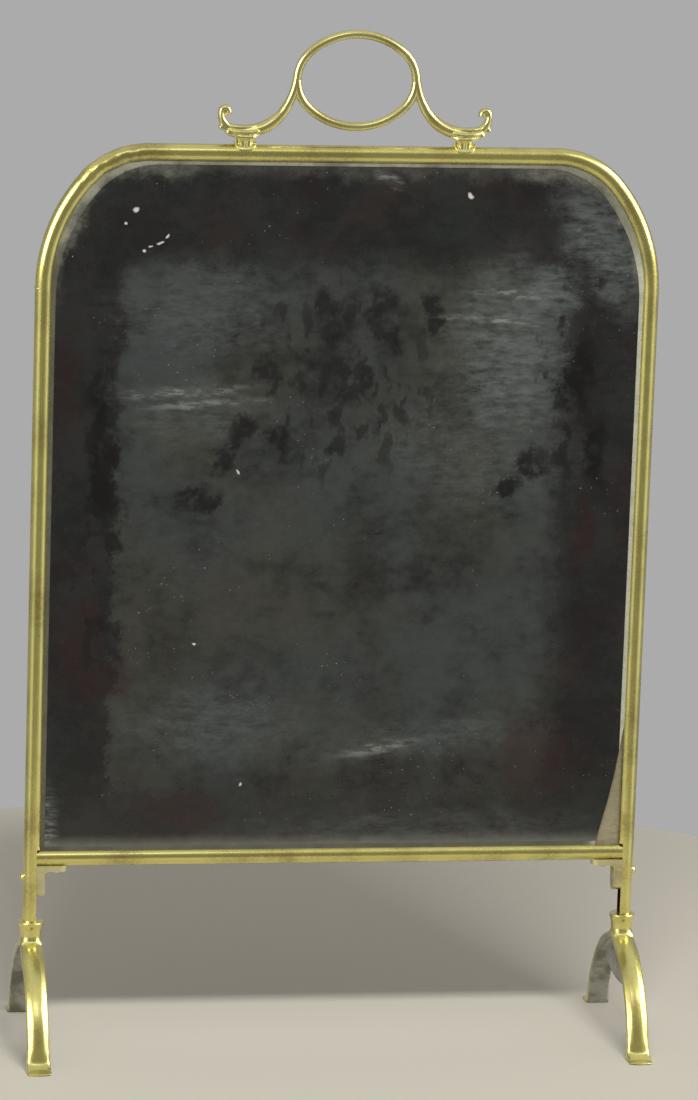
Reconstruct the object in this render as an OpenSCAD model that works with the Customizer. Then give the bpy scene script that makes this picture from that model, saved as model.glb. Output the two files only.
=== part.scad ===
// Fireplace screen: a hoop of slotted brass tube on two cast feet, holding a dark mirror plate,
// with a cast carrying handle on the top rail.
// Millimetres. +Z is up, the front faces -Y, and the origin is on the floor under the middle.

/* [Frame] */
// Distance between the centre lines of the two stiles
frame_w = 444.5; // [380:0.5:560]
// Height of the bottom rail's centre line above the floor
rail_z = 139.7; // [134:0.1:180]
// Height of the top rail's centre line above the floor
top_z = 660.4; // [540:0.1:760]
// Outside diameter of the brass tube
tube_d = 12.7; // [12:0.1:13.6]
// Wall of the brass tube
tube_wall = 1; // [0.8:0.1:1.2]
// Width of the slot sawn along the inner side of the tube
slot_w = 6; // [5.9:0.05:6.6]
// Centre line radius of the upper part of each corner bend
bend_top_r = 60; // [50:1:80]
// Centre line radius of the lower, slower part of each corner bend
bend_side_r = 120; // [90:1:140]
// Angle turned by the upper part of each corner bend
bend_split = 50; // [40:1:60]
// From a stile's centre line to the flat cut on its inner side, below the panel
stile_flat = 3; // [2.6:0.1:3.6]

/* [Panel] */
// Thickness of the mirror plate
glass_t = 3; // [2.8:0.1:3.1]
// Thickness of the backing board
board_t = 2; // [1.8:0.1:2.1]
// Thickness of the binding tape folded over the panel's edge
tape_t = 0.4; // [0.3:0.05:0.4]
// Width of the binding tape on each face
tape_w = 7; // [6:0.5:12]
// How much larger the radius of the tape's inner corners is than the tube's bends
tape_corner = 8; // [0:1:20]
// From the tube's centre line to the outside of the bound panel
panel_edge = 1.5; // [1.2:0.1:2]
// Width of the piece broken off the mirror plate's lower corner
break_w = 25; // [10:1:60]
// Height of the piece broken off the mirror plate's lower corner
break_h = 116; // [40:1:200]

/* [Corner brackets] */
// Depth of a bracket from front to back
bracket_w = 12; // [11.6:0.1:14]
// Length of a bracket's arm under the bottom rail
bracket_arm = 23; // [20:0.5:40]
// Thickness of the arm below the rail
bracket_arm_t = 3.2; // [2.6:0.1:5]
// How far the arm's cradle rises round the rail
bracket_wrap = 1.2; // [0.8:0.1:2]
// Thickness of the leg that beds against the stile
bracket_leg_t = 6.2; // [5:0.1:8]
// How far the leg hangs below the rail's centre line
bracket_drop = 29.5; // [24:0.5:34]
// Radius of the rounded corners of a bracket
bracket_r = 3; // [1:0.5:4]

/* [Screws] */
// Diameter of a stile screw
stile_screw_d = 3.5; // [3:0.1:4]
// Diameter of a stile screw's domed head
stile_head_d = 6.8; // [5.8:0.1:8]
// Height of the domed head
stile_head_h = 2.8; // [2:0.1:3.2]
// Depth of the stile screw below the rail's centre line
stile_screw_drop = 14.7; // [13:0.1:16]
// How far the end of a stile screw stands out of its bracket
stile_screw_tip = 1.2; // [0.5:0.1:2]
// Diameter of the other small screws
small_screw_d = 3; // [2.5:0.1:3.5]
// Head diameter of the other small screws
small_head_d = 5.6; // [4.8:0.1:5.8]
// Head height of the other small screws
small_head_h = 1.8; // [1.4:0.1:2]

/* [Feet] */
// Height of the socket's rim above the floor
rim_z = 92; // [86:0.5:100]
// Outside diameter of the socket's flared rim
rim_d = 19.2; // [18.6:0.2:22]
// Diameter of the neck under the rim
neck_d = 15.4; // [15.4:0.1:17]
// Depth of the socket that takes the tube
socket_depth = 10; // [8:0.5:12]
// Radius of the outer curve of a leg
leg_r = 91.7; // [88:0.1:98]
// How far the centre of that curve lies behind the foot's middle
leg_back = 14.7; // [12:0.1:18]
// How far the centre of that curve lies below the floor
leg_sink = 11.7; // [10:0.1:14]
// Thickness of a leg
leg_t = 7; // [6:0.5:9]
// Width of a leg where it is narrowest
leg_waist = 14.8; // [13:0.1:16]
// Height of the narrowest place above the floor
waist_z = 46; // [38:1:54]
// Radius of the hollowed sides of a leg
waist_r = 600; // [400:10:900]
// Width of the flat face between the two bevels of a leg
leg_face = 8; // [5:0.5:10]
// Depth of the bevels at the edges of a leg
leg_bevel = 2.4; // [1.5:0.1:3]
// How far a toe reaches in front of the foot's middle
toe_reach = 87; // [84:0.5:95]
// Thickness of the toe's pad
toe_t = 2.6; // [2:0.1:4]
// Thickness of the web between the two legs
web_t = 5; // [4:0.5:7]
// Height of the web's lowest point above the floor
web_z = 40; // [39:0.5:50]
// Radius of the web's sagging lower edge
web_r = 130; // [80:5:200]

/* [Handle] */
// Distance between the middles of the handle's two pedestals
handle_span = 159.5; // [140:0.5:180]
// Width of the loop, on the bar's centre line
loop_w = 86.4; // [76:0.2:96]
// Height of the loop, on the bar's centre line
loop_h = 66.4; // [62:0.2:72]
// Radius of the loop's two sides
loop_side_r = 27; // [24:0.5:29]
// Diameter of the bar of the loop
bar_d = 6.4; // [5.4:0.1:7]
// Gap between the loop and the rail under it
loop_gap = 10.3; // [9:0.1:14]
// Height of the leaves' centre line above the saddles
leaf_rise = 7.2; // [7:0.1:9]
// Length of the saddle under each pedestal
saddle_l = 16.8; // [15:0.1:20]
// Width of the saddle from front to back
saddle_w = 12; // [11:0.1:12.4]
// Height of the saddle above the rail
saddle_h = 2.4; // [2:0.1:3]

/* [Hidden] */

brass = [0.72, 0.64, 0.33];
bright_brass = [0.82, 0.73, 0.42];
cast_brass = [0.76, 0.68, 0.36];
dull_brass = [0.62, 0.56, 0.38];
dark_glass = [0.16, 0.16, 0.17];
tan_board = [0.60, 0.52, 0.40];
tape_grey = [0.45, 0.45, 0.41];

// Fits, on the diameter unless the name says otherwise
thread_play = 0.06;
hole_play = 0.3;
slide_play = 0.1;
shoulder_gap = 0.3;
slot_gap = 0.8;
far = 60;

// Tube and frame
tube_r = tube_d / 2;
bore_d = tube_d - 2 * tube_wall;
flat_x = frame_w / 2 - stile_flat;
tube_end = rim_z - socket_depth;
bend_turn = 90 - bend_split;
bend_x = frame_w / 2 - bend_side_r + (bend_side_r - bend_top_r) * sin(bend_split);
bend_z = top_z - bend_top_r - (bend_side_r - bend_top_r) * cos(bend_split);
bend_side_pt = [frame_w / 2 - bend_side_r, bend_z];
bend_top_pt = [bend_x, top_z - bend_top_r];
bend_steps = 12;

// Brackets and their screws
arm_under = rail_z - tube_r - bracket_arm_t;
arm_top = rail_z - tube_r + bracket_wrap;
leg_end = rail_z - bracket_drop;
leg_in = flat_x - bracket_leg_t;
stile_screw_z = rail_z - stile_screw_drop;
rail_screw_in = 8;
plug_margin = 6;
rail_screw_x = leg_in - rail_screw_in;
plug_l = bracket_leg_t + rail_screw_in + plug_margin;

// Feet
crown_z = sqrt(pow(leg_r, 2) - pow(leg_back, 2)) - leg_sink;
leg_foot_y = sqrt(pow(leg_r, 2) - pow(leg_sink, 2)) - leg_back;
lip_h = 2.5;
flare_r = 9;
flare_turn = acos(1 - (rim_d - neck_d) / 2 / flare_r);
flare_z = rim_z - lip_h - flare_r * sin(flare_turn);
neck_z = crown_z - leg_t;
peg_d = bore_d - slide_play;
peg_drop = 0.5;
foot_screw_z = rim_z - 4;
foot_screw_in = 3;
foot_screw_out = 9;
toe_r = 8;
toe_corner = 4;

// Handle: the loop is a four-centred oval, and each arm leaves its side and turns out into a leaf
loop_a = loop_w / 2;
loop_b = loop_h / 2;
side_in = loop_a - loop_side_r;
loop_top_r = (pow(side_in, 2) + pow(loop_b, 2) - pow(loop_side_r, 2)) / (2 * (loop_b - loop_side_r));
loop_turn = atan2(side_in, loop_top_r - loop_b);
loop_z = top_z + tube_r + loop_gap + bar_d / 2 + loop_b;
arm_leave = 6;
arm_turn = 33;
cope_lean = 18;
bar_start = -6;
leaf_lift = 10;
leaf_r = 45;
rise_r = 12;
rise_turn = 88;
curl_r = 2.6;
curl_turn = 190;
saddle_top = top_z + tube_r + saddle_h;
leave_pt = [side_in, loop_z] + loop_side_r * dir(arm_leave);
leaf_pt = [handle_span / 2, saddle_top + leaf_rise];

// Radii of the arm and of the leaf's root, which together reach from the loop to the leaf
arm_way = dir(arm_leave) - dir(arm_turn);
root_way = dir(arm_turn) - dir(90);
reach = leaf_pt - leave_pt;
arm_r = cross(reach, root_way) / cross(arm_way, root_way);
root_r = (reach[0] - arm_r * arm_way[0]) / root_way[0];
arm_pt = leave_pt + arm_r * arm_way;
rise_pt = leaf_pt + leaf_r * (dir(90) - dir(90 + leaf_lift));
curl_from = leaf_lift + rise_turn;
curl_pt = rise_pt + rise_r * (dir(90 + leaf_lift) - dir(90 + curl_from));
pedestal_top = leaf_pt[1] - 2;
pedestal_d = 11.2;
pedestal_top_d = 13;
pedestal_base_d = 13;
pedestal_base_h = 1.4;
pedestal_flutes = 12;
flute_d = 1.4;
tap_depth = 8;
saddle_down = 4.2;
bead_r = 1.7;
// Each bead's way out from the pedestal, from the middle plane and up from the leaf's lowest point
beads = [[17.4, 1.5, 2.7], [12.3, 3, -0.9]];

function dir(a) = [cos(a), sin(a)];
function arc(centre, r, from, to, n) = [for (i = [0:n]) centre + r * dir(from + (to - from) * i / n)];

// Section of the slotted tube as one closed outline, the slot facing inwards
outer_lip = asin(slot_w / tube_d);
inner_lip = asin(slot_w / bore_d);
tube_outline = concat(
    arc([0, 0], tube_r, outer_lip - 180, 180 - outer_lip, 22),
    arc([0, 0], bore_d / 2, 180 - inner_lip, inner_lip - 180, 14));

// ---------------------------------------------------------------- frame

// Ring of the tube, with its slot towards -X
module slotted_ring() {
    difference() {
        circle(d = tube_d, $fn = 48);
        circle(d = bore_d, $fn = 48);
        translate([-tube_d, -slot_w / 2]) square([tube_d, slot_w]);
    }
}

module both_sides() {
    children();
    mirror([1, 0, 0]) children();
}

// Skin over a row of closed rings that all have as many points
module loft(rings) {
    n = len(rings[0]);
    last = len(rings) - 1;
    walls = [for (i = [0:last - 1], j = [0:n - 1]) let (a = i * n, k = (j + 1) % n)
        [a + j, a + k, a + n + k, a + n + j]];
    start_cap = [for (j = [n - 1:-1:0]) j];
    end_cap = [for (j = [0:n - 1]) last * n + j];
    polyhedron([for (r = rings) each r], concat([start_cap], walls, [end_cap]), convexity = 10);
}

// One closed outline, given as [outward, depth] pairs, set at a point of a path in the XZ plane
function set_ring(point, outward, outline) =
    [for (q = outline) [point[0] + q[0] * outward[0], q[1], point[1] + q[0] * outward[1]]];

// Inner side of a stile, cut away to a flat from just above the rail down to its end
module stile_cut() {
    translate([flat_x - tube_d, -tube_d / 2 - 1, tube_end - 1])
        cube([tube_d, tube_d + 2, rail_z + tube_r + shoulder_gap - tube_end + 1]);
}

module stile() {
    color(brass) difference() {
        translate([frame_w / 2, 0, tube_end]) linear_extrude(bend_z - tube_end) slotted_ring();
        stile_cut();
        translate([frame_w / 2, 0, stile_screw_z]) rotate([0, 90, 0])
            cylinder(d = stile_screw_d + hole_play, h = tube_d, $fn = 32);
        translate([frame_w / 2, 0, foot_screw_z]) rotate([-90, 0, 0])
            cylinder(d = small_screw_d + hole_play, h = tube_d, $fn = 32);
    }
}

module left_stile() { mirror([1, 0, 0]) stile(); }
module right_stile() { stile(); }

// Slotted tube bent to two radii, every ring a copy of the tube's section
module bend() {
    quick = [for (i = [10:-1:0]) let (t = bend_turn + bend_split * i / 10)
        set_ring(bend_top_pt + bend_top_r * dir(t), dir(t), tube_outline)];
    slow = [for (i = [7:-1:0]) let (t = bend_turn * i / 8)
        set_ring(bend_side_pt + bend_side_r * dir(t), dir(t), tube_outline)];
    color(brass) loft(concat(quick, slow));
}

module left_bend() { mirror([1, 0, 0]) bend(); }
module right_bend() { bend(); }

module top_rail() {
    color(brass) difference() {
        translate([bend_x, 0, top_z]) rotate([0, -90, 0]) linear_extrude(2 * bend_x) slotted_ring();
        both_sides() translate([handle_span / 2, 0, top_z])
            cylinder(d = small_screw_d + hole_play, h = tube_d, $fn = 32);
    }
}

module bottom_rail() {
    color(brass) difference() {
        translate([-flat_x, 0, rail_z]) rotate([0, 90, 0]) linear_extrude(2 * flat_x) slotted_ring();
        both_sides() translate([rail_screw_x, 0, rail_z - tube_d])
            cylinder(d = small_screw_d + hole_play, h = tube_d, $fn = 32);
    }
}

// ---------------------------------------------------------------- panel

// Outline seen from the front, set in from the tube's centre line by inset, its bends slower by slack
module panel_outline(inset, slack = 0) {
    back = [slack, slack];
    side = concat(
        [[frame_w / 2 - inset, rail_z + inset]],
        arc(bend_side_pt - back, bend_side_r + slack - inset, 0, bend_turn, bend_steps),
        arc(bend_top_pt - back, bend_top_r + slack - inset, bend_turn, 90, bend_steps));
    other = [for (i = [len(side) - 1:-1:0]) [-side[i][0], side[i][1]]];
    polygon(concat(side, other));
}

// The triangle broken off the lower right corner, with a slightly wandering edge
module break_outline() {
    corner = [frame_w / 2, rail_z + panel_edge];
    polygon([corner + [far, -far], corner + [-break_w - 3, -far], corner + [-break_w, 0],
        corner + [-0.62 * break_w, 0.33 * break_h], corner + [-0.44 * break_w, 0.52 * break_h],
        corner + [-panel_edge - 1, break_h], corner + [far, break_h]]);
}

// A flat layer of the panel between two depths
module layer(front, back) {
    translate([0, back, 0]) rotate([90, 0, 0]) linear_extrude(back - front) children();
}

stack_front = -(glass_t + board_t) / 2;
glass_back = stack_front + glass_t;
stack_back = -stack_front;
glass_inset = panel_edge + tape_t;

module mirror_plate() {
    color(dark_glass) layer(stack_front, glass_back) difference() {
        panel_outline(glass_inset);
        break_outline();
    }
}

module backing_board() {
    color(tan_board) layer(glass_back, stack_back) panel_outline(glass_inset);
}

module edge_binding() {
    color(tape_grey) {
        layer(stack_front, stack_back) difference() {
            panel_outline(panel_edge);
            panel_outline(glass_inset);
        }
        layer(stack_front - tape_t, stack_front) difference() {
            panel_outline(panel_edge);
            panel_outline(panel_edge + tape_w, tape_corner);
            break_outline();
        }
        layer(stack_back, stack_back + tape_t) difference() {
            panel_outline(panel_edge);
            panel_outline(panel_edge + tape_w, tape_corner);
        }
    }
}

// ---------------------------------------------------------------- brackets and screws

// A bar of width w with one round end, lying along +X from 0 to l
module round_end_bar(l, w) {
    translate([0, -w / 2]) square([l - w / 2, w]);
    translate([l - w / 2, 0]) circle(d = w, $fn = 48);
}

module bracket() {
    color(dull_brass) difference() {
        union() {
            translate([flat_x, 0, arm_under]) rotate([0, 0, 180])
                linear_extrude(arm_top - arm_under) round_end_bar(bracket_arm, bracket_w);
            translate([leg_in, 0, arm_top]) rotate([0, 90, 0])
                linear_extrude(bracket_leg_t) round_end_bar(arm_top - leg_end, bracket_w);
            translate([leg_in - bracket_r, -bracket_w / 2, arm_under - bracket_r]) difference() {
                cube([bracket_r + 1, bracket_w, bracket_r + 1]);
                translate([0, -1, 0]) rotate([-90, 0, 0])
                    cylinder(r = bracket_r, h = bracket_w + 2, $fn = 48);
            }
        }
        translate([0, 0, rail_z]) rotate([0, 90, 0]) cylinder(r = tube_r, h = frame_w, $fn = 96);
        translate([leg_in - 1, 0, stile_screw_z]) rotate([0, 90, 0])
            cylinder(d = stile_screw_d + thread_play, h = bracket_leg_t + 2, $fn = 32);
        translate([rail_screw_x, 0, arm_under - 1])
            cylinder(d = small_screw_d + hole_play, h = tube_r, $fn = 32);
    }
}

module left_bracket() { mirror([1, 0, 0]) bracket(); }
module right_bracket() { bracket(); }

// Domed head with a cupped seat on the stile, its shank tapped into the bracket
module stile_screw() {
    tip_x = leg_in - stile_screw_tip;
    seat_x = frame_w / 2 + tube_r;
    dome_r = (pow(stile_head_h, 2) + pow(stile_head_d / 2, 2)) / (2 * stile_head_h);
    color(bright_brass) {
        translate([tip_x, 0, stile_screw_z]) rotate([0, 90, 0])
            cylinder(d = stile_screw_d, h = seat_x - tip_x + 0.5, $fn = 48);
        difference() {
            translate([seat_x - 1.2, 0, stile_screw_z]) rotate([0, 90, 0]) union() {
                cylinder(d = stile_head_d, h = 1.2, $fn = 48);
                translate([0, 0, 1.2]) intersection() {
                    translate([0, 0, stile_head_h - dome_r]) sphere(r = dome_r, $fn = 64);
                    cylinder(d = stile_head_d + 2, h = stile_head_h + 1, $fn = 48);
                }
            }
            translate([frame_w / 2, 0, stile_screw_z - far / 2]) cylinder(r = tube_r, h = far, $fn = 96);
        }
    }
}

module left_stile_screw() { mirror([1, 0, 0]) stile_screw(); }
module right_stile_screw() { stile_screw(); }

// A slotted cheese-headed screw pointing up from its seat
module small_screw(shank) {
    color(dull_brass) difference() {
        union() {
            cylinder(d = small_screw_d, h = shank, $fn = 48);
            translate([0, 0, -small_head_h]) cylinder(d = small_head_d, h = small_head_h, $fn = 48);
        }
        translate([-small_head_d, -slot_gap / 2, -small_head_h - slot_gap])
            cube([2 * small_head_d, slot_gap, 2 * slot_gap]);
    }
}

module rail_screw() { translate([rail_screw_x, 0, arm_under]) small_screw(rail_z - arm_under); }
module left_rail_screw() { mirror([1, 0, 0]) rail_screw(); }
module right_rail_screw() { rail_screw(); }

// Tapped plug inside the rail's end, its flat top carrying the panel
module rail_plug() {
    color(dull_brass) translate([flat_x - plug_l, 0, rail_z]) difference() {
        rotate([0, 90, 0]) cylinder(d = bore_d - slide_play, h = plug_l, $fn = 96);
        translate([-1, -tube_r, panel_edge]) cube([plug_l + 2, tube_d, tube_d]);
        translate([plug_margin, 0, -tube_d])
            cylinder(d = small_screw_d + thread_play, h = 2 * tube_d, $fn = 48);
    }
}

module left_rail_plug() { mirror([1, 0, 0]) rail_plug(); }
module right_rail_plug() { rail_plug(); }

// ---------------------------------------------------------------- feet

// Turns a sweep about Z into one in the YZ plane, its angles measured from +Y up to +Z
module sideways() {
    rotate([90, 0, 90]) children();
}

// A bevelled strap swept along an arc, from under the floor to just past the middle
module leg() {
    half = leg_waist / 2 + 3;
    sideways() translate([-leg_back, -leg_sink]) rotate([0, 0, 2])
        rotate_extrude(angle = acos(leg_back / leg_r), $fn = 240)
            polygon([[leg_r - leg_t, -half], [leg_r - leg_bevel, -half], [leg_r, -leg_face / 2],
                [leg_r, leg_face / 2], [leg_r - leg_bevel, half], [leg_r - leg_t, half]]);
}

// Pad at the end of a leg, run into it by a hollow curve
module toe() {
    half = leg_waist / 2 + 3;
    start = leg_foot_y - leg_t;
    hollow_y = leg_foot_y + toe_r;
    intersection() {
        sideways() translate([0, 0, -half]) linear_extrude(2 * half) {
            translate([start, 0]) square([toe_reach - toe_t / 2 - start, toe_t]);
            translate([toe_reach - toe_t / 2, toe_t / 2]) circle(d = toe_t, $fn = 32);
            difference() {
                translate([start, 0]) square([hollow_y - start, toe_t + toe_r]);
                translate([hollow_y, toe_t + toe_r]) circle(r = toe_r, $fn = 64);
            }
        }
        linear_extrude(far) {
            translate([-half, 0]) square([2 * half, toe_reach - toe_corner]);
            translate([toe_corner - half, 0]) square([2 * (half - toe_corner), toe_reach]);
            for (s = [-1, 1])
                translate([s * (half - toe_corner), toe_reach - toe_corner]) circle(r = toe_corner, $fn = 48);
        }
    }
}

module legs() {
    difference() {
        for (turn = [0, 180]) rotate([0, 0, turn]) {
            leg();
            toe();
        }
        translate([-far, -2 * far, -far]) cube([2 * far, 4 * far, far]);
        for (s = [-1, 1])
            translate([s * (leg_waist / 2 + waist_r), 2 * far, waist_z]) rotate([90, 0, 0])
                cylinder(r = waist_r, h = 4 * far, $fn = 1200);
    }
}

// Gusset between the legs, under the crown
module web() {
    sideways() translate([0, 0, -web_t / 2]) linear_extrude(web_t) intersection() {
        translate([0, web_z + web_r]) circle(r = web_r, $fn = 360);
        translate([-leg_back, -leg_sink]) circle(r = leg_r - 2, $fn = 240);
        translate([leg_back, -leg_sink]) circle(r = leg_r - 2, $fn = 240);
    }
}

// Neck that flares to the socket's rim
module neck() {
    translate([0, 0, neck_z]) rotate_extrude($fn = 96) difference() {
        square([rim_d / 2, rim_z - neck_z]);
        translate([neck_d / 2 + flare_r, flare_z - neck_z]) circle(r = flare_r, $fn = 96);
        translate([neck_d / 2, -1]) square([far, flare_z - neck_z + 1]);
    }
}

module foot() {
    color(cast_brass) difference() {
        union() {
            legs();
            web();
            neck();
        }
        translate([0, 0, tube_end]) difference() {
            cylinder(d = tube_d + slide_play, h = far, $fn = 96);
            translate([0, 0, -1]) cylinder(d = peg_d, h = socket_depth - peg_drop + 1, $fn = 96);
        }
        translate([0, foot_screw_in, foot_screw_z]) rotate([-90, 0, 0])
            cylinder(d = small_screw_d + thread_play, h = far, $fn = 48);
    }
}

module left_foot() { translate([-frame_w / 2, 0, 0]) foot(); }
module right_foot() { translate([frame_w / 2, 0, 0]) foot(); }

// Slotted set screw through the back of the socket and the tube into the peg
module foot_screw() {
    color(dull_brass) translate([frame_w / 2, foot_screw_in, foot_screw_z]) rotate([-90, 0, 0]) difference() {
        cylinder(d = small_screw_d, h = foot_screw_out - foot_screw_in, $fn = 48);
        translate([-small_screw_d, -slot_gap / 2, foot_screw_out - foot_screw_in - slot_gap])
            cube([2 * small_screw_d, slot_gap, 2 * slot_gap]);
    }
}

module left_foot_screw() { mirror([1, 0, 0]) foot_screw(); }
module right_foot_screw() { foot_screw(); }

// ---------------------------------------------------------------- handle

// The arcs of the right half from the top of the loop to the tip of the volute:
// centre, radius, first angle, last angle, side of the arc that faces away from the loop, steps
handle_arcs = [
    [[0, loop_z + loop_b - loop_top_r], loop_top_r, 90, 90 - loop_turn, 1, 5],
    [[side_in, loop_z], loop_side_r, 90 - loop_turn, arm_leave, 1, 4],
    [leave_pt + arm_r * dir(arm_leave), arm_r, 180 + arm_leave, 180 + arm_turn, -1, 5],
    [arm_pt + root_r * dir(arm_turn), root_r, 180 + arm_turn, 270, -1, 6],
    [leaf_pt + leaf_r * dir(90), leaf_r, 270, 270 + leaf_lift, -1, 3],
    [rise_pt + rise_r * dir(90 + leaf_lift), rise_r, 270 + leaf_lift, 270 + curl_from, -1, 6],
    [curl_pt + curl_r * dir(90 + curl_from), curl_r, 270 + curl_from, 270 + curl_from + curl_turn, -1, 10]];

// Half height and half depth as multiples of the bar's radius, and depth of the flutes as a share of both,
// against the arc's number and the way along it
bar_r = bar_d / 2;
half_heights = [[2.6, 1], [3, 1.13], [3.5, 1.34], [3.8, 1.42], [4.2, 1.38], [5, 1.1], [5.6, 0.84], [6, 0.66],
    [6.7, 0.69], [7, 0.78]];
half_depths = [[2.6, 1], [3, 1.19], [3.7, 1.66], [5, 1.5], [5.6, 1.06], [6, 0.84], [6.7, 0.78], [7, 0.84]];
flutes = [[2.6, 0], [3.5, 0.16], [5, 0.16], [5.8, 0.05], [6, 0]];
flute_count = 6;
ring_sides = 24;

function handle_outline(place) = [for (j = [0:ring_sides - 1])
    let (t = 360 * j / ring_sides, swell = 1 + lookup(place, flutes) * (cos(flute_count * t) - 1) / 2)
    bar_r * swell * [lookup(place, half_heights) * cos(t), lookup(place, half_depths) * sin(t)]];

// Each station is [point, outward direction, place]
right_stations = [for (k = [0:len(handle_arcs) - 1]) let (a = handle_arcs[k])
    for (i = [(k == 0 ? 0 : 1):a[5]]) let (t = a[2] + (a[3] - a[2]) * i / a[5])
        [a[0] + a[1] * dir(t), a[4] * dir(t), k + i / a[5]]];
left_stations = [for (i = [len(right_stations) - 1:-1:1]) let (s = right_stations[i])
    [[-s[0][0], s[0][1]], [-s[1][0], s[1][1]], s[2]]];

module handle_sweep() {
    loft([for (s = concat(left_stations, right_stations)) set_ring(s[0], s[1], handle_outline(s[2]))]);
}

// Beads that end the lower flutes of a leaf, front and back
module leaf_beads() {
    for (bead = beads, side = [-1, 1])
        translate([leaf_pt[0] + bead[0], side * bead[1], leaf_pt[1] + bead[2]])
            sphere(r = bead_r, $fn = 24);
}

// Fluted neck that widens from its base ring up into the leaf
module pedestal() {
    neck_h = pedestal_top - saddle_top;
    translate([handle_span / 2, 0, saddle_top]) {
        cylinder(d = pedestal_base_d, h = pedestal_base_h, $fn = 48);
        difference() {
            cylinder(d1 = pedestal_d, d2 = pedestal_top_d, h = neck_h, $fn = 48);
            for (i = [0:pedestal_flutes - 1]) rotate([0, 0, 360 * (i + 0.5) / pedestal_flutes])
                translate([(pedestal_d + pedestal_top_d) / 4 + flute_d / 6, 0, pedestal_base_h])
                    cylinder(d = flute_d, h = neck_h, $fn = 16);
        }
    }
}

module handle() {
    color(bright_brass) difference() {
        union() {
            handle_sweep();
            both_sides() {
                pedestal();
                leaf_beads();
            }
        }
        both_sides() translate([handle_span / 2, 0, saddle_top - 1])
            cylinder(d = small_screw_d + thread_play, h = tap_depth + 1, $fn = 48);
    }
}

// Lower bar of the loop, each end coped to lie along the side of its arm and brazed there
module loop_lower_bar() {
    outline = arc([0, 0], bar_r, 0, 337.5, 15);
    side_pt = [side_in, loop_z];
    cope_pt = leave_pt + arm_r * (dir(arm_leave) - dir(cope_lean));
    right = concat(
        [for (i = [0:7]) let (t = bar_start + (loop_turn - 90 - bar_start) * i / 7)
            set_ring(side_pt + loop_side_r * dir(t), dir(t), outline)],
        [for (i = [1:6]) let (t = loop_turn - 90 - loop_turn * i / 6)
            set_ring([0, loop_z - loop_b + loop_top_r] + loop_top_r * dir(t), dir(t), outline)]);
    left = [for (i = [len(right) - 2:-1:0]) [for (q = right[i]) [-q[0], q[1], q[2]]]];
    color(bright_brass) difference() {
        loft(concat(right, left));
        both_sides() translate([cope_pt[0], 0, cope_pt[1]]) rotate([0, -cope_lean, 0])
            cylinder(r = bar_r, h = far, $fn = 96, center = true);
    }
}

// Boat-shaped seat between the round rail and a pedestal, with raised pointed ends
module saddle() {
    side_r = (pow(saddle_l / 2, 2) + pow(saddle_w / 2, 2)) / saddle_w;
    color(bright_brass) difference() {
        translate([handle_span / 2, 0, top_z + tube_r - saddle_down])
            linear_extrude(saddle_down + saddle_h + 1.2) intersection() {
                translate([0, side_r - saddle_w / 2]) circle(r = side_r, $fn = 96);
                translate([0, saddle_w / 2 - side_r]) circle(r = side_r, $fn = 96);
            }
        translate([handle_span / 2 - far / 2, 0, top_z]) rotate([0, 90, 0])
            cylinder(r = tube_r, h = far, $fn = 96);
        translate([handle_span / 2, 0, saddle_top]) cylinder(d = pedestal_base_d + 0.1, h = far, $fn = 48);
        translate([handle_span / 2, 0, top_z]) cylinder(d = small_screw_d + hole_play, h = far, $fn = 32);
    }
}

module left_saddle() { mirror([1, 0, 0]) saddle(); }
module right_saddle() { saddle(); }

// Screw from inside the top rail, up through the tube and the saddle into the casting
module handle_screw() {
    seat_z = top_z + sqrt(pow(bore_d / 2, 2) - pow(small_head_d / 2, 2));
    translate([handle_span / 2, 0, seat_z]) small_screw(saddle_top + tap_depth - 1 - seat_z);
}

module left_handle_screw() { mirror([1, 0, 0]) handle_screw(); }
module right_handle_screw() { handle_screw(); }

left_stile();
right_stile();
left_bend();
right_bend();
top_rail();
bottom_rail();
left_bracket();
right_bracket();
left_stile_screw();
right_stile_screw();
left_rail_screw();
right_rail_screw();
left_rail_plug();
right_rail_plug();
mirror_plate();
backing_board();
edge_binding();
left_foot();
right_foot();
left_foot_screw();
right_foot_screw();
handle();
loop_lower_bar();
left_saddle();
right_saddle();
left_handle_screw();
right_handle_screw();
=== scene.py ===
"""A brass fireplace screen: a hoop of slotted tube on two cast feet, a dark glass plate and a cast handle.

The CAD frame gives the places and the sizes. This script adds the finishes, and the softer and finer shapes
of the bends, the feet and the handle. Lengths are in metres, and MM turns millimetres into them. Angles are
in degrees up to the call that wants radians.
"""
import functools
import math

import bmesh
import bpy
from mathutils import Matrix, Vector, noise


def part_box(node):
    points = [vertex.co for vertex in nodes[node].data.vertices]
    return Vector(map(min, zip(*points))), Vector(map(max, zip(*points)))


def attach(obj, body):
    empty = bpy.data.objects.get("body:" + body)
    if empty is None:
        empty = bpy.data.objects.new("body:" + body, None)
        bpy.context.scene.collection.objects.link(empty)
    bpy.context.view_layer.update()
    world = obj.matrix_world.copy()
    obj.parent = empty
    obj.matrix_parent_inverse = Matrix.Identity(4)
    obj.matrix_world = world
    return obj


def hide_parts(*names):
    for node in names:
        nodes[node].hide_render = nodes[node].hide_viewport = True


MM = 0.001
BODY = "root"
SIDES = {"left": -1, "right": 1}

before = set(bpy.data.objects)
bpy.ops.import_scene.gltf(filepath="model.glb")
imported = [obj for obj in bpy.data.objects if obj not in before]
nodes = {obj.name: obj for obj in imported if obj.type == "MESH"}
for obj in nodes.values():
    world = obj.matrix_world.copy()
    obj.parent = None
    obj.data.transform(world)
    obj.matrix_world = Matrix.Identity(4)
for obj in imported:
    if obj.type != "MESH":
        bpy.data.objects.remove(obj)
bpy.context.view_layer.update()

# ---------------------------------------------------------------- sizes, read from the frame

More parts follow.
